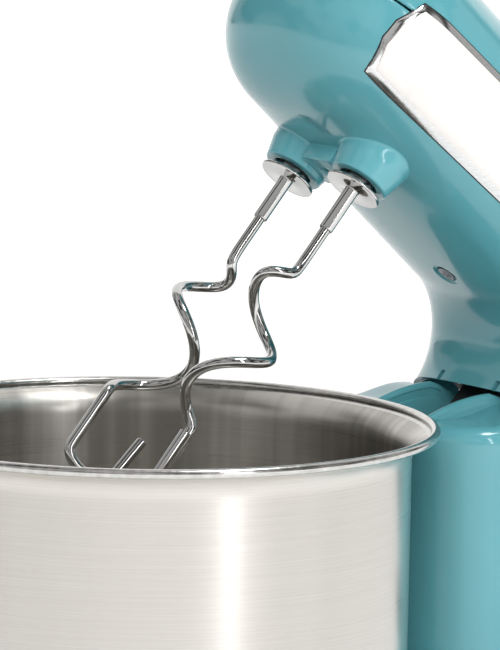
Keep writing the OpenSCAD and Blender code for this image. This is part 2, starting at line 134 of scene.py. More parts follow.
# ----------------------------------------------------------- mesh making ----
def piece(name, points, faces, place, body, material, slot, stands_for=(), smooth=True):
    """A mesh object from points in millimetres, riding on a body."""
    mesh = bpy.data.meshes.new(name)
    mesh.from_pydata([tuple(p) for p in place(points)], [], [tuple(f) for f in faces])
    mesh.validate()
    mesh.update()
    obj = bpy.data.objects.new(name, mesh)
    bpy.context.scene.collection.objects.link(obj)
    mesh.materials.append(material)
    clean(obj)
    if smooth:
        soften(obj)
    if body:
        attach(obj, body)
    if stands_for:
        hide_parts(*stands_for)
    return obj


def clean(obj, merge=1e-6):
    bm = bmesh.new()
    bm.from_mesh(obj.data)
    bmesh.ops.remove_doubles(bm, verts=bm.verts, dist=merge)
    bmesh.ops.dissolve_degenerate(bm, edges=bm.edges, dist=merge)
    bmesh.ops.recalc_face_normals(bm, faces=bm.faces)
    bm.to_mesh(obj.data)
    bm.free()


def soften(obj, angle=38):
    """Smooth shading, with edges sharper than the angle kept crisp."""
    bm = bmesh.new()
    bm.from_mesh(obj.data)
    limit = math.radians(angle)
    for f in bm.faces:
        f.smooth = True
    for e in bm.edges:
        e.smooth = len(e.link_faces) != 2 or e.calc_face_angle(0) < limit
    bm.to_mesh(obj.data)
    bm.free()


def skin(rows, closed=False, loop=False):
    """A grid given row by row, as points and faces.

    closed joins the ends of each row, and loop joins the last row to the first.
    """
    n, m = len(rows), len(rows[0])
    points = np.concatenate([np.asarray(r, float) for r in rows])
    faces = []
    for i in range(n if loop else n - 1):
        for k in range(m if closed else m - 1):
            a, b = i * m + k, i * m + (k + 1) % m
            c, d = ((i + 1) % n) * m + (k + 1) % m, ((i + 1) % n) * m + k
            faces.append((a, b, c, d))
    return points, faces


def joined(*parts):
    """Several (points, faces) as one."""
    points, faces, at = [], [], 0
    for p, f in parts:
        points.append(np.asarray(p, float))
        faces += [tuple(i + at for i in face) for face in f]
        at += len(p)
    return np.concatenate(points), faces


def lathe(profile, steps=96, centre=(0, 0)):
    """A closed outline of (radius, height) turned about the vertical through centre."""
    rows = []
    for k in range(steps):
        a = 2 * math.pi * k / steps
        rows.append([(centre[0] + r * math.cos(a), centre[1] + r * math.sin(a), z) for r, z in profile])
    return skin(rows, closed=True, loop=True)


def arc(centre, radius, start, end, steps):
    """Points on an arc in a plane, angles in degrees."""
    return [(centre[0] + radius * math.cos(math.radians(a)), centre[1] + radius * math.sin(math.radians(a)))
            for a in np.linspace(start, end, steps)]


def tube(path, radius, sides=24, caps=0.35):
    """A round bar along a path, its ends chamfered. radius is a number or one per point."""
    path = np.asarray(path, float)
    n = len(path)
    radii = np.broadcast_to(np.asarray(radius, float), (n,)).copy()
    tangents = np.gradient(path, axis=0)
    tangents /= np.linalg.norm(tangents, axis=1)[:, None]
    side = np.cross(tangents[0], (0.3, 0.9, 0.1))
    rows = []
    for i in range(n):
        side = side - tangents[i] * (side @ tangents[i])
        side /= np.linalg.norm(side)
        other = np.cross(tangents[i], side)
        angles = np.linspace(0, 2 * math.pi, sides, endpoint=False)
        ring = np.outer(np.cos(angles), side) + np.outer(np.sin(angles), other)
        if i == 0 and caps:
            rows.append(path[0] + ring * (radii[0] - caps))
            rows.append(path[0] + tangents[0] * caps + ring * radii[0])
        elif i == n - 1 and caps:
            rows.append(path[i] - tangents[i] * caps + ring * radii[i])
            rows.append(path[i] + ring * (radii[i] - caps))
        else:
            rows.append(path[i] + ring * radii[i])
    points, faces = skin(rows, closed=True)
    last = (len(rows) - 1) * sides
    faces.append(tuple(range(sides))[::-1])
    faces.append(tuple(last + k for k in range(sides)))
    return points, faces


def rounded_block(low, high, radius=1.0, steps=3):
    """A box with rounded edges, as points and faces."""
    low, high = np.array(low, float), np.array(high, float)
    bm = bmesh.new()
    bmesh.ops.create_cube(bm, size=1.0)
    for v in bm.verts:
        v.co = Vector((low + high) / 2 + np.array(v.co) * (high - low))
    bmesh.ops.bevel(bm, geom=list(bm.edges), offset=radius, segments=steps, profile=0.5, affect="EDGES")
    points = np.array([tuple(v.co) for v in bm.verts])
    faces = [tuple(v.index for v in f.verts) for f in bm.faces]
    bm.free()
    return points, faces


def cut(obj, *cutters):
    """Takes the cutters, as (points, faces, place), out of the object."""
    for k, (points, faces, place) in enumerate(cutters):
        tool = piece(f"cutter_{k}", points, faces, place, None, obj.data.materials[0], None, smooth=False)
        step = obj.modifiers.new("cut", "BOOLEAN")
        step.operation = "DIFFERENCE"
        step.solver = "EXACT"
        step.object = tool
        freeze(obj)
        bpy.data.objects.remove(tool)
    soften(obj)


def freeze(obj):
    """Applies the object's modifiers to its mesh."""
    bpy.context.view_layer.update()
    depsgraph = bpy.context.evaluated_depsgraph_get()
    mesh = bpy.data.meshes.new_from_object(obj.evaluated_get(depsgraph))
    obj.modifiers.clear()
    old, name = obj.data, obj.data.name
    obj.data = mesh
    bpy.data.meshes.remove(old)
    obj.data.name = name


def disc_prism(x, y, z0, z1, r, steps=48):
    """A vertical cylinder, as points and faces."""
    angles = np.linspace(0, 2 * math.pi, steps, endpoint=False)
    ring = [(x + r * math.cos(a), y + r * math.sin(a)) for a in angles]
    points = [(u, v, z0) for u, v in ring] + [(u, v, z1) for u, v in ring]
    faces = [(k, (k + 1) % steps, steps + (k + 1) % steps, steps + k) for k in range(steps)]
    faces += [tuple(range(steps))[::-1], tuple(range(steps, 2 * steps))]
    return np.array(points), faces


# ------------------------------------------------------------- materials ----
def add_node(tree, kind, inputs=None, **props):
    """A shader node whose inputs are linked from sockets or set to constants."""
    n = tree.nodes.new("ShaderNode" + kind)
    for key, value in props.items():
        setattr(n, key, value)
    for key, value in (inputs or {}).items():
        if isinstance(value, bpy.types.NodeSocket):
            tree.links.new(value, n.inputs[key])
        else:
            n.inputs[key].default_value = value
    return n


def map_range(tree, value, low, high, out_low, out_high):
    return add_node(tree, "MapRange", {"Value": value, "From Min": low, "From Max": high,
                                       "To Min": out_low, "To Max": out_high}).outputs["Result"]


class Shader:
    """A small builder for procedural materials."""

    def __init__(self, name, **sockets):
        self.material = bpy.data.materials.new(name)
        self.material.use_nodes = True
        self.tree = self.material.node_tree
        self.bsdf = self.tree.nodes["Principled BSDF"]
        for key, value in sockets.items():
            self.bsdf.inputs[key.replace("_", " ")].default_value = value
        self.where = self.tree.nodes.new("ShaderNodeTexCoord").outputs["Object"]

    def node(self, kind, inputs=None, **props):
        return add_node(self.tree, kind, inputs, **props)

    def noise(self, scale, detail=3.0, rough=0.5, where=None):
        return self.node("TexNoise", {"Vector": where or self.where, "Scale": scale, "Detail": detail,
                                      "Roughness": rough}).outputs["Fac"]

    def stretched(self, x, y, z):
        return self.node("Mapping", {"Vector": self.where, "Scale": (x, y, z)}).outputs["Vector"]

    def ramp(self, value, low, high, out_low, out_high):
        return map_range(self.tree, value, low, high, out_low, out_high)

    def mixed(self, factor, first, second):
        n = self.node("Mix", data_type="RGBA")
        self.tree.links.new(factor, n.inputs[0])
        for slot, value in ((6, first), (7, second)):
            if isinstance(value, bpy.types.NodeSocket):
                self.tree.links.new(value, n.inputs[slot])
            else:
                n.inputs[slot].default_value = value
        return n.outputs[2]

    def colour(self, socket):
        self.tree.links.new(socket, self.bsdf.inputs["Base Color"])

    def rough(self, socket):
        self.tree.links.new(socket, self.bsdf.inputs["Roughness"])

    def bump(self, height, strength, distance):
        n = self.node("Bump", {"Height": height, "Strength": strength, "Distance": distance})
        self.tree.links.new(n.outputs["Normal"], self.bsdf.inputs["Normal"])


def rgb(r, g, b):
    """A display colour out of 255 as linear light."""
    def linear(v):
        v /= 255
        return v / 12.92 if v <= 0.04045 else ((v + 0.055) / 1.055) ** 2.4
    return (linear(r), linear(g), linear(b), 1.0)


def shade(colour, factor):
    return tuple(min(1.0, c * factor) for c in colour[:3]) + (1.0,)


def gloss_plastic(name, colour, roughness=0.14, ripple=0.05):
    """Polished moulded plastic: a slow waviness, slight mottling and fine handling marks."""
    m = Shader(name, IOR=1.5, Coat_Weight=0.35, Coat_Roughness=0.04)
    slow = m.noise(14, 2)
    m.colour(m.mixed(m.ramp(slow, 0.3, 0.7, 0, 1), shade(colour, 0.96), shade(colour, 1.04)))
    m.rough(m.ramp(m.noise(160, 4), 0.3, 0.75, roughness * 0.8, roughness * 1.35))
    m.bump(m.noise(60, 2), ripple, 0.0004)
    return m.material


def moulded_plastic(name, colour, roughness=0.5, grain=1400):
    """Matt moulded plastic with a fine spark-eroded grain."""
    m = Shader(name, IOR=1.46)
    m.colour(m.mixed(m.ramp(m.noise(30), 0.3, 0.7, 0, 1), shade(colour, 0.9), shade(colour, 1.1)))
    m.rough(m.ramp(m.noise(90), 0.3, 0.7, roughness * 0.85, min(1, roughness * 1.15)))
    m.bump(m.noise(grain, 2), 0.25, 0.0001)
    return m.material


def soft_rubber(name, colour):
    """Matt rubber with a fine grain."""
    m = Shader(name, IOR=1.5, Specular_IOR_Level=0.3)
    m.colour(m.mixed(m.ramp(m.noise(40), 0.3, 0.7, 0, 1), shade(colour, 0.85), shade(colour, 1.15)))
    m.rough(m.ramp(m.noise(200), 0.3, 0.7, 0.7, 0.85))
    m.bump(m.noise(900, 2), 0.3, 0.0001)
    return m.material


def chrome_plate(name):
    """Mirror chrome with faint polishing haze and a little waviness."""
    m = Shader(name, Metallic=1.0)
    m.colour(m.mixed(m.ramp(m.noise(50), 0.3, 0.7, 0, 1), (0.50, 0.50, 0.49, 1), (0.59, 0.59, 0.58, 1)))
    m.rough(m.ramp(m.noise(300, 4), 0.3, 0.75, 0.03, 0.10))
    m.bump(m.noise(90, 1), 0.02, 0.0002)
    return m.material


def machined_metal(name, colour, roughness=0.3, lines=(1, 1, 14)):
    """Turned or ground metal with fine tool lines."""
    m = Shader(name, Metallic=1.0)
    tool = m.noise(260, 3, where=m.stretched(*lines))
    m.colour(m.mixed(m.ramp(tool, 0.3, 0.7, 0, 1), shade(colour, 0.85), shade(colour, 1.1)))
    m.rough(m.ramp(tool, 0.3, 0.7, roughness * 0.8, roughness * 1.25))
    m.bump(tool, 0.15, 0.0001)
    return m.material


# Painted reflection fan pattern, bright and dark, round the inside of a spun wall, and its phase in radians
PAINTED_FANS = 5
PAINTED_FAN_TURN = 9.25


def brushed_bowl(name, low, high):
    """Spun stainless steel: hair lines run round the axis, so the reflections stretch up and down. Inside, a
    painted reflection pattern of bright and dark streaks is also mixed into the colour.
    """
    m = Shader(name, Metallic=1.0, Anisotropic=0.8, Anisotropic_Rotation=0.25)
    axis = m.node("VectorMath", {0: m.where, 1: (0, AXIS_Y * MM, 0)}, operation="SUBTRACT").outputs["Vector"]
    split = m.node("SeparateXYZ", {"Vector": axis}).outputs
    flat = m.node("CombineXYZ", {"X": split["X"], "Y": split["Y"]}).outputs["Vector"]
    radius = m.node("VectorMath", {0: flat}, operation="LENGTH").outputs["Value"]
    turn = m.node("Math", {0: split["Y"], 1: split["X"]}, operation="ARCTAN2").outputs["Value"]

    def streaks(round_scale, up_scale):
        """Coordinates round the turn, up the wall and out along the floor, each at its own scale."""
        return m.node("CombineXYZ", {
            "X": m.node("Math", {0: turn, 1: round_scale}, operation="MULTIPLY").outputs["Value"],
            "Y": m.node("Math", {0: split["Z"], 1: up_scale}, operation="MULTIPLY").outputs["Value"],
            "Z": m.node("Math", {0: radius, 1: up_scale}, operation="MULTIPLY").outputs["Value"],
        }).outputs["Vector"]

    def inside_only(socket):
        """The value on the faces that look at the axis, and nought on the rest."""
        normal = m.node("NewGeometry").outputs["Normal"]
        out = m.node("VectorMath", {0: normal, 1: flat}, operation="DOT_PRODUCT").outputs["Value"]
        inner = m.ramp(out, -0.02, 0.0, 1, 0)
        return m.node("Math", {0: socket, 1: inner}, operation="MULTIPLY").outputs["Value"]

    lines = m.noise(30, 3, 0.7, where=streaks(0.05, 75.0))
    grain = m.mixed(m.ramp(lines, 0.25, 0.75, 0, 1), low, high)
    # painted reflection: a bright and dark fan pattern and noise streaks round the inside wall darken the colour
    # towards a shade of the low colour
    phase = m.node("Math", {0: turn, 1: PAINTED_FANS, 2: PAINTED_FAN_TURN}, operation="MULTIPLY_ADD").outputs["Value"]
    painted_fans = m.node("Math", {0: phase}, operation="COSINE").outputs["Value"]
    painted_bands = m.noise(1.0, 3, 0.6, where=streaks(9.0, 0.4))
    painted_band_wobble = m.ramp(painted_bands, 0.3, 0.7, -1.1, 1.1)
    painted_reflection = m.node("Math", {0: painted_band_wobble, 1: painted_fans}, operation="ADD").outputs["Value"]
    m.colour(m.mixed(inside_only(m.ramp(painted_reflection, -1.1, 1.2, 0.85, 0)), grain, shade(low, 0.55)))
    m.rough(m.ramp(lines, 0.3, 0.7, 0.27, 0.37))
    m.bump(lines, 0.03, 0.0001)
    tangent = m.node("Tangent", direction_type="RADIAL", axis="Z").outputs["Tangent"]
    m.tree.links.new(tangent, m.bsdf.inputs["Tangent"])
    return m.material


TEAL = rgb(86, 152, 161)
MATERIALS = {
    "teal": gloss_plastic("turquoise_gloss", TEAL),
    "teal_foot": gloss_plastic("turquoise_foot", TEAL),
    # painted highlight: the bosses are the casing's own plastic, made lighter to stand for the light falling on
    # them
    "boss": gloss_plastic("turquoise_boss_painted_lighter", shade(TEAL, 1.15), 0.2),
    "trim_line": moulded_plastic("trim_shadow", rgb(128, 116, 112), 0.4),
    "panel": gloss_plastic("panel_white", rgb(226, 222, 219), 0.3, 0.03),
    "silver": machined_metal("silver_edge", (0.75, 0.75, 0.75, 1), 0.15),
    # black for the painted shade of the gap round the side panels, and for the dial pointer mark
    "gap": moulded_plastic("gap_shade_and_pointer_black", rgb(24, 26, 28)),
    "bowl": brushed_bowl("brushed_steel", (0.62, 0.595, 0.555, 1), (0.76, 0.735, 0.695, 1)),
    "rim": machined_metal("rolled_rim", (0.62, 0.61, 0.59, 1), 0.2, (1, 1, 1)),
    "chrome": chrome_plate("hook_chrome"),
    "steel": machined_metal("machined_steel", (0.55, 0.55, 0.55, 1)),
    # painted shade: the screws are darkened to stand for the shade in their recesses
    "screw": machined_metal("screw_painted_recess_shade", (0.20, 0.21, 0.22, 1), 0.35),
    "aluminium": machined_metal("cast_aluminium", (0.62, 0.63, 0.65, 1), 0.45, (1, 1, 1)),
    "iron": machined_metal("laminations", (0.22, 0.22, 0.24, 1), 0.5, (1, 20, 20)),
    "brass": machined_metal("sintered_bronze", (0.60, 0.42, 0.20, 1), 0.35, (1, 1, 1)),
    "copper": machined_metal("enamelled_copper", (0.58, 0.22, 0.10, 1), 0.25, (20, 1, 1)),
    "carbon": moulded_plastic("pressed_carbon", rgb(40, 40, 40), 0.7),
    "black": moulded_plastic("black_plastic", rgb(38, 39, 42)),
    "acetal": moulded_plastic("acetal", rgb(226, 219, 200), 0.35),
    "board": moulded_plastic("circuit_board", rgb(32, 92, 52), 0.4),
    "rubber": soft_rubber("black_rubber", rgb(34, 34, 34)),
}
SLOT_LOOK = {"body_plastic": "teal", "trim_panel": "panel", "bowl_steel": "bowl", "chrome": "chrome",
             "steel": "steel", "aluminium": "aluminium", "iron": "iron", "brass": "brass",
             "copper": "copper", "carbon": "carbon", "black_plastic": "black", "gear_plastic": "acetal",
             "board": "board", "rubber": "rubber"}


def dress_cad_nodes():
    """Gives each node of the CAD the look of its record slot, and the casing screws a darker one, painted shade of
    the recesses they sit in.
    """
    slots = {s["node"]: s["material_slot"] for s in frame["record"]["subparts"]}
    for name, obj in frame["nodes"].items():
        obj.data.materials.clear()
        obj.data.materials.append(MATERIALS["screw" if name == "shell_screws" else SLOT_LOOK[slots[name]]])


# ------------------------------------------------------------------ bowl ----
def bowl_side(inset):
    """The bowl's face from the middle of its floor to just under the roll."""
    corner = 50.0
    points = [(r, BOWL_Z + inset) for r in np.linspace(0.01, BOWL_R - corner, 14)]
    points += arc((BOWL_R - corner, BOWL_Z + corner), corner - inset, -89, 0, 26)
    points += [(BOWL_R - inset, z) for z in np.linspace(BOWL_Z + corner + 4, RIM_Z - 13, 16)]
    t = np.linspace(0.08, 1, 12)
    points += [(BOWL_R - inset + (RIM_R - BOWL_R - 0.6) * u ** 2.4, RIM_Z - 13 + 12.2 * u ** 0.9) for u in t]
    return points


def make_bowl():
    roll = arc((RIM_R, RIM_Z), ROLL_R, 200, -150, 22)
    outline = bowl_side(BOWL_WALL) + roll + bowl_side(0)[::-1]
    points, faces = lathe(outline, 192)
    bowl = piece("mixing_bowl", points, faces, to_stand, "bowl", MATERIALS["bowl"], "bowl_steel", ["bowl"])
    bowl.data.materials.append(MATERIALS["rim"])
    edge = (RIM_R - 3.4) * MM
    for f in bowl.data.polygons:
        c = f.center
        if c.z > (RIM_Z - 3.2) * MM and math.hypot(c.x, c.y - AXIS_Y * MM) > edge:
            f.material_index = 1


# ----------------------------------------------------------------- hooks ----
HOOK = {"bend": 47.7, "straight": 120.1, "foot": 148.65, "radius": 11.7, "turn": 500.4,
        "ramp": 10.0, "back": 10.36, "drop": 6.85, "tip": 129.8}
# The turn, in degrees, at which each hook's spiral reaches its foot
HOOK_LAST_RIGHT = 141.7
HOOK_LAST_LEFT = 242.3
WIRE_R = 2.3
SLEEVE_R = 3.05


def hook_path(side, last):
    """Centre line of a hook's wire, down from the collar, in the head's closed frame."""
    h = HOOK
    rows = [(0, 0, -z) for z in np.linspace(19.5, h["bend"] - h["ramp"], 10)]
    for z in np.linspace(h["bend"] - h["ramp"] / 2 + 0.3, h["foot"], 110):
        u = min(1.0, max(0.0, (z - h["bend"] + h["ramp"] / 2) / h["ramp"]))
        r = h["radius"] * u * u * (3 - 2 * u)
        k = min(1.0, max(-0.3, (z - h["bend"]) / (h["straight"] - h["bend"])))
        t = math.radians(last + side * h["turn"] * (1 - k))
        rows.append((r * math.cos(t), r * math.sin(t), -z))
    c, s = math.cos(math.radians(last)), math.sin(math.radians(last))
    middle, half = (h["radius"] - h["back"]) / 2, (h["radius"] + h["back"]) / 2
    for a in np.radians(np.linspace(7, 173, 24)):
        r = middle + half * math.cos(a)
        rows.append((r * c, r * s, -h["foot"] - h["drop"] * math.sin(a)))
    for z in np.linspace(h["foot"], h["tip"], 8):
        r = -h["back"] - 0.09 * (h["foot"] - z)
        rows.append((r * c, r * s, -z))
    path = np.array(rows)
    for _ in range(3):
        path[1:-1] = (path[:-2] + 2 * path[1:-1] + path[2:]) / 4
    return path + (side * SPINDLE_X, SPINDLE_Y, COLLAR_Z)


def make_hook(side, name, last):
    """A hook as two pieces, the bent wire and the turned collar."""
    points, faces = tube(hook_path(side, last), WIRE_R, 28, 0.3)
    piece(f"hook_bar_{name}", points, faces, to_head, f"hook_{name}", MATERIALS["chrome"], "chrome",
          [f"hook_wire_{name}"])
    # collar disc, sleeve and shank, one turned piece
    low, x, y = COLLAR_Z, side * SPINDLE_X, SPINDLE_Y
    outline = [(0.01, low - 20.4), (WIRE_R + 0.1, low - 20.4), (SLEEVE_R - 0.25, low - 20.9),
               (SLEEVE_R, low - 20.3), (SLEEVE_R, low - 0.7), (SLEEVE_R + 0.15, low - 0.25),
               (SLEEVE_R + 0.5, low), (12.1, low), (12.45, low + 0.35), (12.5, low + 0.75),
               (12.45, low + 1.15), (12.1, low + 1.5), (3.0, low + 1.5), (3.0, low + 43.4), (2.4, low + 44),
               (0.01, low + 44)]
    points, faces = lathe(outline, 72, (x, y))
    lugs = [rounded_block((x - a, y - b, low + 5), (x + a, y + b, low + 10), 0.3)
            for a, b in ((5.4, 0.9), (0.9, 5.4))]
    piece(f"hook_collar_{name}_turned", *joined((points, faces), *lugs), to_head, f"hook_{name}",
          MATERIALS["chrome"], "chrome", [f"hook_collar_{name}"])


# ------------------------------------------------------------------ head ----
def neck_edge(y):
    """Height of the neck's lower edge: an arc clear of the hinge drum, then level."""
    d = abs(y - PIVOT_Y)
    return max(TAIL_Z, PIVOT_Z + math.sqrt(NECK_CLEAR ** 2 - d * d)) if d < NECK_CLEAR else TAIL_Z


def head_stations():
    """The spine of the head as (kind, value): nose turns, straight places, bend turns, neck shares."""
    rows = [("nose", a) for a in np.linspace(0.6, 88, 34)]
    rows += [("line", y) for y in np.linspace(NOSE_LEN - NOSE_Y, BEND_Y, 44)]
    rows += [("bend", a) for a in np.linspace(90 / 44, 90, 44)]
    rows += [("neck", t) for t in np.linspace(0.2, 1, 5)]
    return rows


def head_point(station, angle, inset=0.0):
    """A point of the head's skin at a station of its spine and an angle round the section."""
    kind, value = station
    c, s = math.cos(angle), math.sin(angle)
    w, v = HEAD_W - inset, (HEAD_LOW if s < 0 else HEAD_UP) - inset
    if s < 0:
        c = math.copysign(abs(c) ** (2 / LOW_SHAPE), c)
        s = -abs(s) ** (2 / LOW_SHAPE)
    if kind == "nose":
        turn = math.radians(value)
        scale = math.sin(turn)
        return (w * scale * c, NOSE_LEN - NOSE_Y - (NOSE_LEN - inset) * math.cos(turn), MID_Z + v * scale * s)
    if kind == "line":
        return (w * c, value, MID_Z + v * s)
    r = BEND_R + v * s
    if kind == "bend":
        turn = math.radians(value)
        return (w * c, BEND_Y + r * math.sin(turn), BEND_Z + r * math.cos(turn))
    y = BEND_Y + r
    return (w * c, y, BEND_Z + value * (neck_edge(y) - BEND_Z))


def edge_drop(share, length, radius=0.9):
    """How far a shell's face dips in near its edge, for a rounded edge."""
    gap = share * length
    return 0.0 if gap >= radius else radius - math.sqrt(max(0.0, radius ** 2 - (radius - gap) ** 2))


def shell(first, last, steps=90):
    """A shell between two section angles, with its inner face and rounded edges."""
    rows = []
    near = np.concatenate([[0, 0.0015, 0.0035, 0.006], np.linspace(0.011, 0.989, steps),
                           [0.994, 0.9965, 0.9985, 1]])
    for st in head_stations():
        outer = []
        for t in near:
            inset = edge_drop(min(t, 1 - t), 160)
            outer.append(head_point(st, math.radians(first + (last - first) * t), inset))
        inner = [head_point(st, math.radians(first + (last - first) * t), WALL) for t in near[::-1][2:-2:3]]
        rows.append(outer + inner)
    points, faces = skin(rows, closed=True)
    m, n = len(rows[0]), len(near)
    inner_count = m - n

    def facing(k):
        """The inner point that lies behind outer point k of a row."""
        return m - 1 - min(inner_count - 1, int(k * inner_count / (n - 1)))

    for start in (0, (len(rows) - 1) * m):
        for k in range(n - 1):
            a, b = start + k, start + k + 1
            q, q2 = start + facing(k), start + facing(k + 1)
            faces.append((a, b, q2, q) if q != q2 else (a, b, q))
    return points, faces


def skin_z(x):
    """Height of the head's underside at x, along its straight part."""
    return MID_Z - HEAD_LOW * max(0.0, 1 - (abs(x) / HEAD_W) ** LOW_SHAPE) ** (1 / LOW_SHAPE)


def boss_skirt(side):
    """One spindle boss: a flat ring round the socket, then a slightly flared wall up to the head's skin."""
    rows = []
    low, wide, foot = SOCKET_Z + 1.3, SKIRT_R - 1.1, 13.3
    for a in np.linspace(0, 2 * math.pi, 121):
        c, s = math.cos(a), math.sin(a)
        row = [(SOCKET_R, SOCKET_Z + 12), (SOCKET_R, SOCKET_Z + 0.4), (SOCKET_R + 0.4, SOCKET_Z)]
        row += [(foot - 1.2 + 1.2 * math.sin(t), SOCKET_Z + 1.3 * (1 - math.cos(t)))
                for t in np.linspace(0, math.pi / 2, 6)]
        top = skin_z(side * SPINDLE_X + wide * c) - 1.0
        for u in np.linspace(0.1, 1, 8):
            row.append((foot + (wide - foot) * min(1.0, u * (top - low) / 8), low + u * (top - low)))
        for t in np.linspace(0.25, math.pi / 2, 5):
            r = wide + 1.6 * (1 - math.cos(t))
            row.append((r, skin_z(side * SPINDLE_X + r * c) - 1.0 + 1.15 * math.sin(t)))
        rows.append([(side * SPINDLE_X + r * c, SPINDLE_Y + r * s, z) for r, z in row])
    return skin(rows)


def make_head():
    """Both casings, the two bosses with their bridge, and the two screws that show."""
    lower = piece("lower_casing", *shell(180.25, 359.75), to_head, "head", MATERIALS["teal"], "body_plastic",
                  ["head_lower_shell"])
    holes = [(*disc_prism(s * SPINDLE_X, SPINDLE_Y, DECK_Z - 14, DECK_Z + 24, SKIRT_R - 0.3, 96), to_head)
             for s in (-1, 1)]
    between = rounded_block((-8.6, SPINDLE_Y - 8.6, DECK_Z - 12), (8.6, SPINDLE_Y + 8.6, DECK_Z + 12), 1)
    holes.append((*between, to_head))
    dish = [(0.01, DECK_Z - 3), (7.6, DECK_Z - 3), (7.0, DECK_Z - 0.6), (6.2, DECK_Z + 0.25),
            (4.9, DECK_Z + 0.7), (4.4, DECK_Z + 1.6), (0.01, DECK_Z + 1.6)]
    holes.append((*lathe(dish, 64, (0, SCREW_Y)), to_head))
    holes += [(*rounded_block((s * NOTCH_X - 1.5, 118, 168), (s * NOTCH_X + 1.5, 142, 184), 0.7), to_head)
              for s in (-1, 1)]
    cut(lower, *holes)
    piece("upper_casing", *shell(0.25, 179.75), to_head, "head", MATERIALS["teal"], "body_plastic",
          ["head_upper_shell"])
    # the bosses and their bridge carry the painted lighter teal
    piece("spindle_bosses", *joined(boss_skirt(-1), boss_skirt(1)), to_head, "head", MATERIALS["boss"],
          "body_plastic", ["spindle_housing"])
    bridge = piece("boss_bridge", *rounded_block((-BRIDGE_W, SPINDLE_Y - 9.5, SOCKET_Z + 2.2),
                                                 (BRIDGE_W, SPINDLE_Y + 9.5, SOCKET_Z + 14), 1.4),
                   to_head, "head", MATERIALS["boss"], "body_plastic")
    pit = [(0.01, SOCKET_Z), (4.4, SOCKET_Z), (3.6, SOCKET_Z + 2.9), (3.0, SOCKET_Z + 3.6),
           (3.0, SOCKET_Z + 8), (0.01, SOCKET_Z + 8)]
    seam = rounded_block((4.6, SPINDLE_Y - 12, SOCKET_Z + 1), (5.0, SPINDLE_Y + 12, SOCKET_Z + 2.7), 0.1)
    cut(bridge, (*lathe(pit, 48, (0, SPINDLE_Y + 0.5)), to_head), (*seam, to_head))
    screw_head("boss_screw", 0, SPINDLE_Y + 0.5, SOCKET_Z + 5.2, 2.8)
    screw_head("deck_screw", 0, SCREW_Y, DECK_Z + 0.25, 3.7)


def screw_head(name, x, y, z, r):
    """A pan-head screw seen from below, with a cross recess."""
    outline = [(0.01, z), (r * 0.55, z), (r * 0.85, z + 0.25), (r, z + 0.8), (r, z + 1.3), (0.01, z + 1.3)]
    screw = piece(name, *lathe(outline, 48, (x, y)), to_head, "head", MATERIALS["screw"], "steel")
    for u, v in ((0.55, 0.14), (0.14, 0.55)):
        groove = rounded_block((x - r * u, y - r * v, z - 1), (x + r * u, y + r * v, z + 0.7), 0.05)
        cut(screw, (*groove, to_head))


def trim_tilt(y):
    """The trim rises slightly towards the neck."""
    return 0.0463 * (y - 21.6)


def trim_band(side, low, high, out, thick, name, material, start=-40.0, end=52.0):
    """A strip on the side of the head between two heights, following nose, side and bend."""
    def angle(z):
        """The section angle at which the head's side reaches a height."""
        v = (z - MID_Z) / (HEAD_LOW if z < MID_Z else HEAD_UP)
        v = math.copysign(min(1, abs(v)) ** (LOW_SHAPE / 2 if v < 0 else 1), v)
        return math.asin(v)

    nose_end = NOSE_LEN - NOSE_Y
    stations = [("nose", math.degrees(math.acos((nose_end - y) / NOSE_LEN)), y)
                for y in np.linspace(start, nose_end - 0.5, 16)]
    stations += [("line", y, y) for y in np.linspace(nose_end, BEND_Y, 34)]
    stations += [("bend", a, BEND_Y) for a in np.linspace(2, end, 24)]
    rows = []
    total = len(stations)
    for i, (kind, value, y) in enumerate(stations):
        ends = min(i, total - 1 - i)
        squeeze = min(1.0, 0.25 + ends / 5.0) if ends < 4 else 1.0
        centre, half = (low + high) / 2, (high - low) / 2 * squeeze
        rise = trim_tilt(y)
        angles = np.linspace(angle(centre - half + rise), angle(centre + half + rise), 18)
        if side < 0:
            angles = math.pi - angles
        lift = [out * edge for edge in [0.25, 0.8] + [1.0] * 14 + [0.8, 0.25]] if ends else [0.25 * out] * 18
        outer = [head_point((kind, value), a, -l) for a, l in zip(angles, lift)]
        inner = [head_point((kind, value), a, thick) for a in angles[::-1]]
        rows.append(outer + inner)
    points, faces = skin(rows, closed=True)
    m = len(rows[0])
    last = (total - 1) * m
    for base in (0, last):
        for k in range(17):
            faces.append((base + k, base + k + 1, base + m - 2 - k, base + m - 1 - k))
    return piece(name, points, faces, to_head, "head", material, "trim_panel")


def make_trim():
    """The side panels, each of four layers: a dark gap of painted shade, a bright edge, a shadow line and the
    panel.
    """
    for side, name in ((1, "right"), (-1, "left")):
        # painted shade: a black band where the gap round the panel lies
        trim_band(side, 224.1, 263.4, 0.12, 0.6, f"trim_gap_{name}", MATERIALS["gap"], -41.5, 53)
        trim_band(side, 224.6, 262.9, 0.9, 0.5, f"trim_edge_{name}", MATERIALS["silver"], -41.0, 52.5)
        trim_band(side, 225.9, 261.6, 0.96, 0.5, f"trim_line_{name}", MATERIALS["trim_line"], -39.7, 51.2)
        panel = trim_band(side, 226.3, 261.2, 1.15, 0.4, f"side_panel_{name}", MATERIALS["panel"],
                          -39.3, 50.8)
        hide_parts(f"side_trim_{name}")


# ----------------------------------------------------------------- stand ----
def superellipse(a, b, n, steps, centre_y=0.0):
    """Points round a superellipse of half widths a and b and exponent n."""
    rows = []
    for t in np.linspace(0, 2 * math.pi, steps, endpoint=False):
        c, s = math.cos(t), math.sin(t)
        x, y = a * math.copysign(abs(c) ** (2 / n), c), b * math.copysign(abs(s) ** (2 / n), s)
        rows.append((x, centre_y + y))
    return np.array(rows)


def column_top(y):
    """The shoulders are level in front and swell a little towards the back, then fall round the hinge."""
    share = min(1.0, max(0.0, (y - 146) / 30))
    level = COLUMN_Z + 4.3 * share * share * (3 - 2 * share)
    d = y - PIVOT_Y
    if d <= 0:
        return level
    return min(level, PIVOT_Z + math.sqrt(max(0.0, (DRUM_R + 1.8) ** 2 - d * d)))


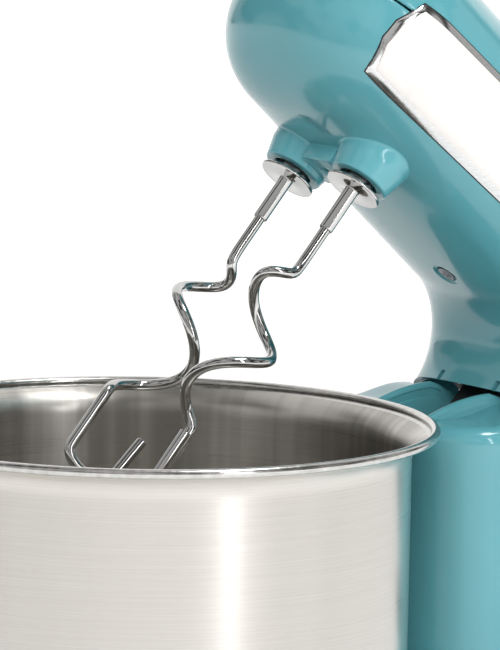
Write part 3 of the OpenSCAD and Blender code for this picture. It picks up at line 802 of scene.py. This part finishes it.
def make_column():
    """The column with its hinge channel and release hole cut out, and its two ribs."""
    steps, fillet = 144, 7.0
    rows = []
    for z_share in np.linspace(0, 1, 20):
        ring = superellipse(COLUMN_W, COLUMN_D, 3, steps, COLUMN_Y)
        rows.append([(x, y, FOOT_H - 1 + z_share * (column_top(y) - fillet - FOOT_H + 1)) for x, y in ring])
    for a in np.linspace(8, 90, 12):
        inset = fillet * (1 - math.cos(math.radians(a)))
        ring = superellipse(COLUMN_W - inset, COLUMN_D - inset, 3, steps, COLUMN_Y)
        rows.append([(x, y, column_top(y) - fillet + fillet * math.sin(math.radians(a))) for x, y in ring])
    for share in np.linspace(0.93, 0.02, 16):
        inner = superellipse((COLUMN_W - fillet) * share, (COLUMN_D - fillet) * share, 3, steps, COLUMN_Y)
        rows.append([(x, y, column_top(y)) for x, y in inner])
    points, faces = skin(rows, closed=True)
    faces.append(tuple(range(steps))[::-1])
    faces.append(tuple((len(rows) - 1) * steps + k for k in range(steps)))
    column = piece("column_casing", points, faces, to_stand, "stand", MATERIALS["teal"], "body_plastic",
                   ["base_shell"])
    slot = rounded_block((-SLOT_W, 126.5, SLOT_FLOOR), (SLOT_W, 230, 230), 0.8)
    button = disc_prism(0, 0, 40, 80, 11.3)
    button = (np.array([(z, RELEASE_Y + y, RELEASE_Z - x) for x, y, z in button[0]]), button[1])
    cut(column, (*slot, to_stand), (*button, to_stand))
    for side, name in ((1, "right"), (-1, "left")):
        make_rib(side, name)


def make_rib(side, name):
    """A rib beside the hinge channel: a rounded band along its crest, a ledge inside, a soft foot outside."""
    crest = [(126.6, 167.9), (129, 169.3), (132, 170.7), (136, 172.3), (141, 174.1), (146, 175.6),
             (151, 176.9), (155.6, 177.7), (160, 178.3), (164, 178.6), (168, 178.7), (173, 177.1),
             (179, 173.6), (185, 169.4), (190, 164.6), (194, 159.6), (197.5, 153.6)]
    inner, outer = SLOT_W - 0.02, SLOT_W + RIB_W + 0.9
    section = [(inner - 0.35, -RIB_DROP), (inner - 0.35, -6.9), (inner - 0.15, -6.3), (inner + 0.5, -6.0),
               (inner + 0.5, -2.9), (inner + 0.05, -2.6), (inner, -2.2), (inner + 0.25, -0.9),
               (inner + 0.9, -0.15), (inner + 1.5, 0.0)]
    section += [(outer - 1.9, -0.1), (outer - 1.1, -0.45), (outer - 0.5, -1.2), (outer - 0.1, -2.2),
                (outer, -3.2), (outer + 0.25, -3.6)]
    section += [(outer + 0.3 + 5.0 * (1 - math.cos(t)), -4.0 - 6.5 * math.sin(t))
                for t in np.linspace(0.15, 1.5, 7)]
    section += [(outer + 5.2, -RIB_DROP)]
    rows = []
    for y, z in crest:
        rows.append([(side * x, y, z + h) for x, h in section])
    points, faces = skin(rows, closed=True)
    m = len(rows[0])
    faces += [tuple(range(m)), tuple((len(rows) - 1) * m + k for k in range(m))]
    piece(f"column_rib_{name}", points, faces, to_stand, "stand", MATERIALS["teal"], "body_plastic")


def make_foot():
    """The foot with its turntable recess, and the fillet where the column meets it."""
    steps, fillet = 192, 6.0
    angles = np.linspace(0, 2 * math.pi, steps, endpoint=False)

    def ring(inset, z):
        outline = superellipse(FOOT_W - inset, FOOT_D - inset, 3.2, 720, FOOT_Y)
        turn = np.unwrap(np.arctan2(outline[:, 1], outline[:, 0]))
        size = np.hypot(outline[:, 0], outline[:, 1])
        order = np.argsort(turn)
        turn, size = turn[order], size[order]
        r = np.interp(angles, turn, size, period=2 * math.pi)
        return [(q * math.cos(a), q * math.sin(a), z) for q, a in zip(r, angles)]

    rows = [ring(3.2, COVER_Z + 2.4), ring(2.6, COVER_Z), ring(0.5, COVER_Z), ring(0, COVER_Z + 0.6)]
    rows += [ring(0, z) for z in np.linspace(COVER_Z + 2, FOOT_H - fillet, 6)]
    for a in np.radians(np.linspace(9, 90, 10)):
        rows.append(ring(fillet * (1 - math.cos(a)), FOOT_H - fillet + fillet * math.sin(a)))
    edge = np.array(rows[-1])
    target = np.array([((RECESS_R + 1) * math.cos(a), (RECESS_R + 1) * math.sin(a), FOOT_H) for a in angles])
    for share in np.linspace(0.9, 0, 10):
        rows.append(edge * share + target * (1 - share))
    for r, z in ((RECESS_R + 0.3, FOOT_H - 0.3), (RECESS_R, FOOT_H - 1), (RECESS_R, RECESS_Z),
                 (0.5, RECESS_Z)):
        rows.append([(r * math.cos(a), r * math.sin(a), z) for a in angles])
    points, faces = skin(rows, closed=True)
    piece("foot_casing", points, faces, to_stand, "stand", MATERIALS["teal_foot"], "body_plastic")
    collar = []
    for a in np.radians(np.linspace(0, 90, 8)):
        grow = 5.0 * (1 - math.sin(a))
        outline = superellipse(COLUMN_W + grow - 0.05, COLUMN_D + grow - 0.05, 3, 144, COLUMN_Y)
        collar.append([(x, y, FOOT_H - 0.03 + 5.0 * (1 - math.cos(a))) for x, y in outline])
    points, faces = skin(collar, closed=True)
    piece("column_fillet", points, faces, to_stand, "stand", MATERIALS["teal"], "body_plastic")


def make_turntable():
    """The turning plate with three slots in its seat."""
    outline = [(9, 16.7), (RECESS_R - 2.6, 16.7), (RECESS_R - 2, 17.3), (RECESS_R - 2, 23.2),
               (RECESS_R - 2.8, 24), (69, 24), (68, 24.4), (68, 28.4), (67.4, 29), (62.6, 29), (62, 28.4),
               (62, 24), (50, 24), (49, 23.4), (30, 23.4), (29, 24), (9, 24)]
    points, faces = lathe(outline, 144)
    table = piece("turning_plate", points, faces, to_stand, "turntable", MATERIALS["teal_foot"],
                  "body_plastic", ["turntable"])
    for k in range(3):
        block, block_faces = rounded_block((60.5, -5.4, 24.02), (72, 5.4, 31), 0.3)
        c, s = math.cos(2 * math.pi * k / 3), math.sin(2 * math.pi * k / 3)
        turned = [(x * c - y * s, x * s + y * c, z) for x, y, z in block]
        cut(table, (np.array(turned), block_faces, to_stand))


# -------------------------------------------------------------- controls ----
def sideways(points, x, y, z):
    """Points drawn about a vertical axis, turned to point along +X from (x, y, z)."""
    return np.array([(x + p[2], y + p[0], z + p[1]) for p in points])


def make_knob():
    """The speed dial: a disc with thirty shallow flutes and a pointer."""
    outline = [(0.01, 0), (14.6, 0), (15, 0.4), (15, 3), (13.4, 3.6), (12.6, 9.6), (11.8, 10.7), (10.6, 11),
               (6, 10.6), (0.01, 10.5)]
    points, faces = lathe(outline, 120)
    for p in points:
        r, a = math.hypot(p[0], p[1]), math.atan2(p[1], p[0])
        if 12.2 < r < 13.6 and p[2] > 3.2:
            grow = 1 + 0.025 * math.cos(30 * a)
            p[0] *= grow
            p[1] *= grow
    turned = sideways(points, KNOB_X, KNOB_Y, KNOB_Z)
    piece("speed_dial", turned, faces, to_head, "knob", MATERIALS["panel"], "trim_panel", ["speed_knob"])
    mark = rounded_block((KNOB_X + 10.2, KNOB_Y - 0.7, KNOB_Z + 5),
                         (KNOB_X + 11.1, KNOB_Y + 0.7, KNOB_Z + 11.4), 0.4)
    piece("dial_pointer", *mark, to_head, "knob", MATERIALS["gap"], "trim_panel")


def make_buttons():
    """The eject button on the head and the release button on the column."""
    top = MID_Z + HEAD_UP
    outline = [(0.01, top - 10.5), (8.6, top - 10.5), (9, top - 10), (9, top + 2.2), (8.4, top + 3.1),
               (7.2, top + 3.5), (4, top + 3.3), (0.01, top + 3.2)]
    points, faces = lathe(outline, 72, (0, SPINDLE_Y))
    stem = disc_prism(0, SPINDLE_Y, 262, top - 10.4, 5)
    piece("eject_cap", *joined((points, faces), stem), to_head, "ejector", MATERIALS["panel"], "trim_panel",
          ["eject_button"])
    outline = [(0.01, 0), (11, 0), (11, 14), (10.4, 14.8), (9.2, 15), (5, 14.6), (0.01, 14.5)]
    points, faces = lathe(outline, 72)
    stem = disc_prism(0, 0, -13, 0.1, 4)
    points, faces = joined((points, faces), stem)
    piece("release_cap", sideways(points, RELEASE_X, RELEASE_Y, RELEASE_Z), faces, to_stand, "release",
          MATERIALS["black"], "black_plastic", ["release_button"])


# ------------------------------------------------------- camera and light ----
CAMERA_AZIMUTH, CAMERA_RISE, CAMERA_AWAY = 53.9, 9.18, 2.0
LOOK_TURN, LOOK_DOWN, LOOK_ROLL = 52.66, 7.98, 1.11
LENS = 269.07


def direction(turn, rise):
    """A unit vector from its turn about the vertical, 0 towards -Y, and its rise, in degrees."""
    t, e = math.radians(turn), math.radians(rise)
    return Vector((math.sin(t) * math.cos(e), -math.cos(t) * math.cos(e), math.sin(e)))


def make_camera():
    data = bpy.data.cameras.new("camera")
    camera = bpy.data.objects.new("camera", data)
    bpy.context.scene.collection.objects.link(camera)
    target = Vector((0, AXIS_Y * MM, RIM_Z * MM))
    back = direction(LOOK_TURN, LOOK_DOWN)
    right = Vector((math.cos(math.radians(LOOK_TURN)), math.sin(math.radians(LOOK_TURN)), 0))
    up = back.cross(right)
    roll = math.radians(LOOK_ROLL)
    side = math.cos(roll) * right + math.sin(roll) * up
    head = -math.sin(roll) * right + math.cos(roll) * up
    turn = Matrix((side, head, back)).transposed().to_4x4()
    place = target + CAMERA_AWAY * direction(CAMERA_AZIMUTH, CAMERA_RISE)
    camera.matrix_world = Matrix.Translation(place) @ turn
    data.sensor_width = 36
    data.lens = LENS
    data.clip_end = 20
    bpy.context.scene.camera = camera


def area_light(name, place, aim, size, size_y, power, mirrored):
    """A softbox. Where it isn't mirrored, it lights the scene and shows in no reflection."""
    data = bpy.data.lights.new(name, "AREA")
    data.shape = "RECTANGLE"
    data.size = size
    data.size_y = size_y
    data.energy = power
    lamp = bpy.data.objects.new(name, data)
    bpy.context.scene.collection.objects.link(lamp)
    lamp.location = place
    lamp.rotation_euler = (Vector(place) - Vector(aim)).to_track_quat("Z", "Y").to_euler()
    lamp.visible_glossy = mirrored


def make_stage():
    """A pale floor that grows brighter away from the mixer."""
    size = 9.0
    floor = sheet("studio_floor", [(-size, -size, 0), (size, -size, 0), (size, size, 0), (-size, size, 0)])
    m = Shader("pale_floor", Roughness=0.6, Emission_Color=(1, 1, 1, 1))
    m.colour(m.mixed(m.ramp(m.noise(3), 0.3, 0.7, 0, 1), (0.86, 0.86, 0.86, 1), (0.90, 0.90, 0.90, 1)))
    away = m.node("VectorMath", {0: m.where}, operation="LENGTH").outputs["Value"]
    m.tree.links.new(m.ramp(away, 0.7, 2.4, 0.2, 0.62), m.bsdf.inputs["Emission Strength"])
    floor.data.materials.append(m.material)


def sheet(name, corners):
    """A flat four-cornered piece of the stage."""
    mesh = bpy.data.meshes.new(name)
    mesh.from_pydata(corners, [], [(0, 1, 2, 3)])
    obj = bpy.data.objects.new(name, mesh)
    bpy.context.scene.collection.objects.link(obj)
    return obj


def make_world():
    """A dim studio: pale above, darker towards the walls, with dark stands and one white wall behind."""
    world = bpy.data.worlds.new("studio")
    bpy.context.scene.world = world
    world.use_nodes = True
    tree = world.node_tree
    where = add_node(tree, "TexCoord").outputs["Generated"]
    height = add_node(tree, "SeparateXYZ", {"Vector": where}).outputs["Z"]
    rise = map_range(tree, height, -0.1, 0.8, 0.42, 0.62)
    cards = add_node(tree, "TexNoise", {"Vector": where, "Scale": 3.1, "Detail": 0.0}).outputs["Fac"]
    dark = map_range(tree, cards, 0.42, 0.46, 0.10, 1.0)
    power = add_node(tree, "Math", {0: rise, 1: dark}, operation="MULTIPLY").outputs["Value"]
    back = -direction(LOOK_TURN, -22)
    towards = add_node(tree, "VectorMath", {0: where, 1: back}, operation="DOT_PRODUCT").outputs["Value"]
    wall = map_range(tree, towards, 0.72, 0.80, 0.0, 1.1)
    brighter = add_node(tree, "Math", {0: power, 1: wall}, operation="MAXIMUM").outputs["Value"]
    background = tree.nodes["Background"]
    background.inputs["Color"].default_value = (1.0, 0.99, 0.98, 1)
    tree.links.new(brighter, background.inputs["Strength"])


dress_cad_nodes()
make_bowl()
make_hook(1, "right", HOOK_LAST_RIGHT)
make_hook(-1, "left", HOOK_LAST_LEFT)
make_head()
make_trim()
make_column()
make_foot()
make_turntable()
make_knob()
make_buttons()
make_camera()
make_stage()
make_world()
area_light("key", (1.6, -1.2, 1.5), (0, 0, 0.2), 1.0, 1.0, 26, False)
area_light("side", (1.9, 1.0, 0.8), (0, 0.05, 0.2), 0.5, 1.4, 10, False)
area_light("top", (0.6, 0.4, 2.2), (0, 0, 0.2), 0.8, 0.5, 16, True)
area_light("strip", (2.0, -0.05, 0.95), (0, -0.05, 0.25), 0.14, 1.5, 7, True)
bpy.context.scene.view_settings.view_transform = "Standard"
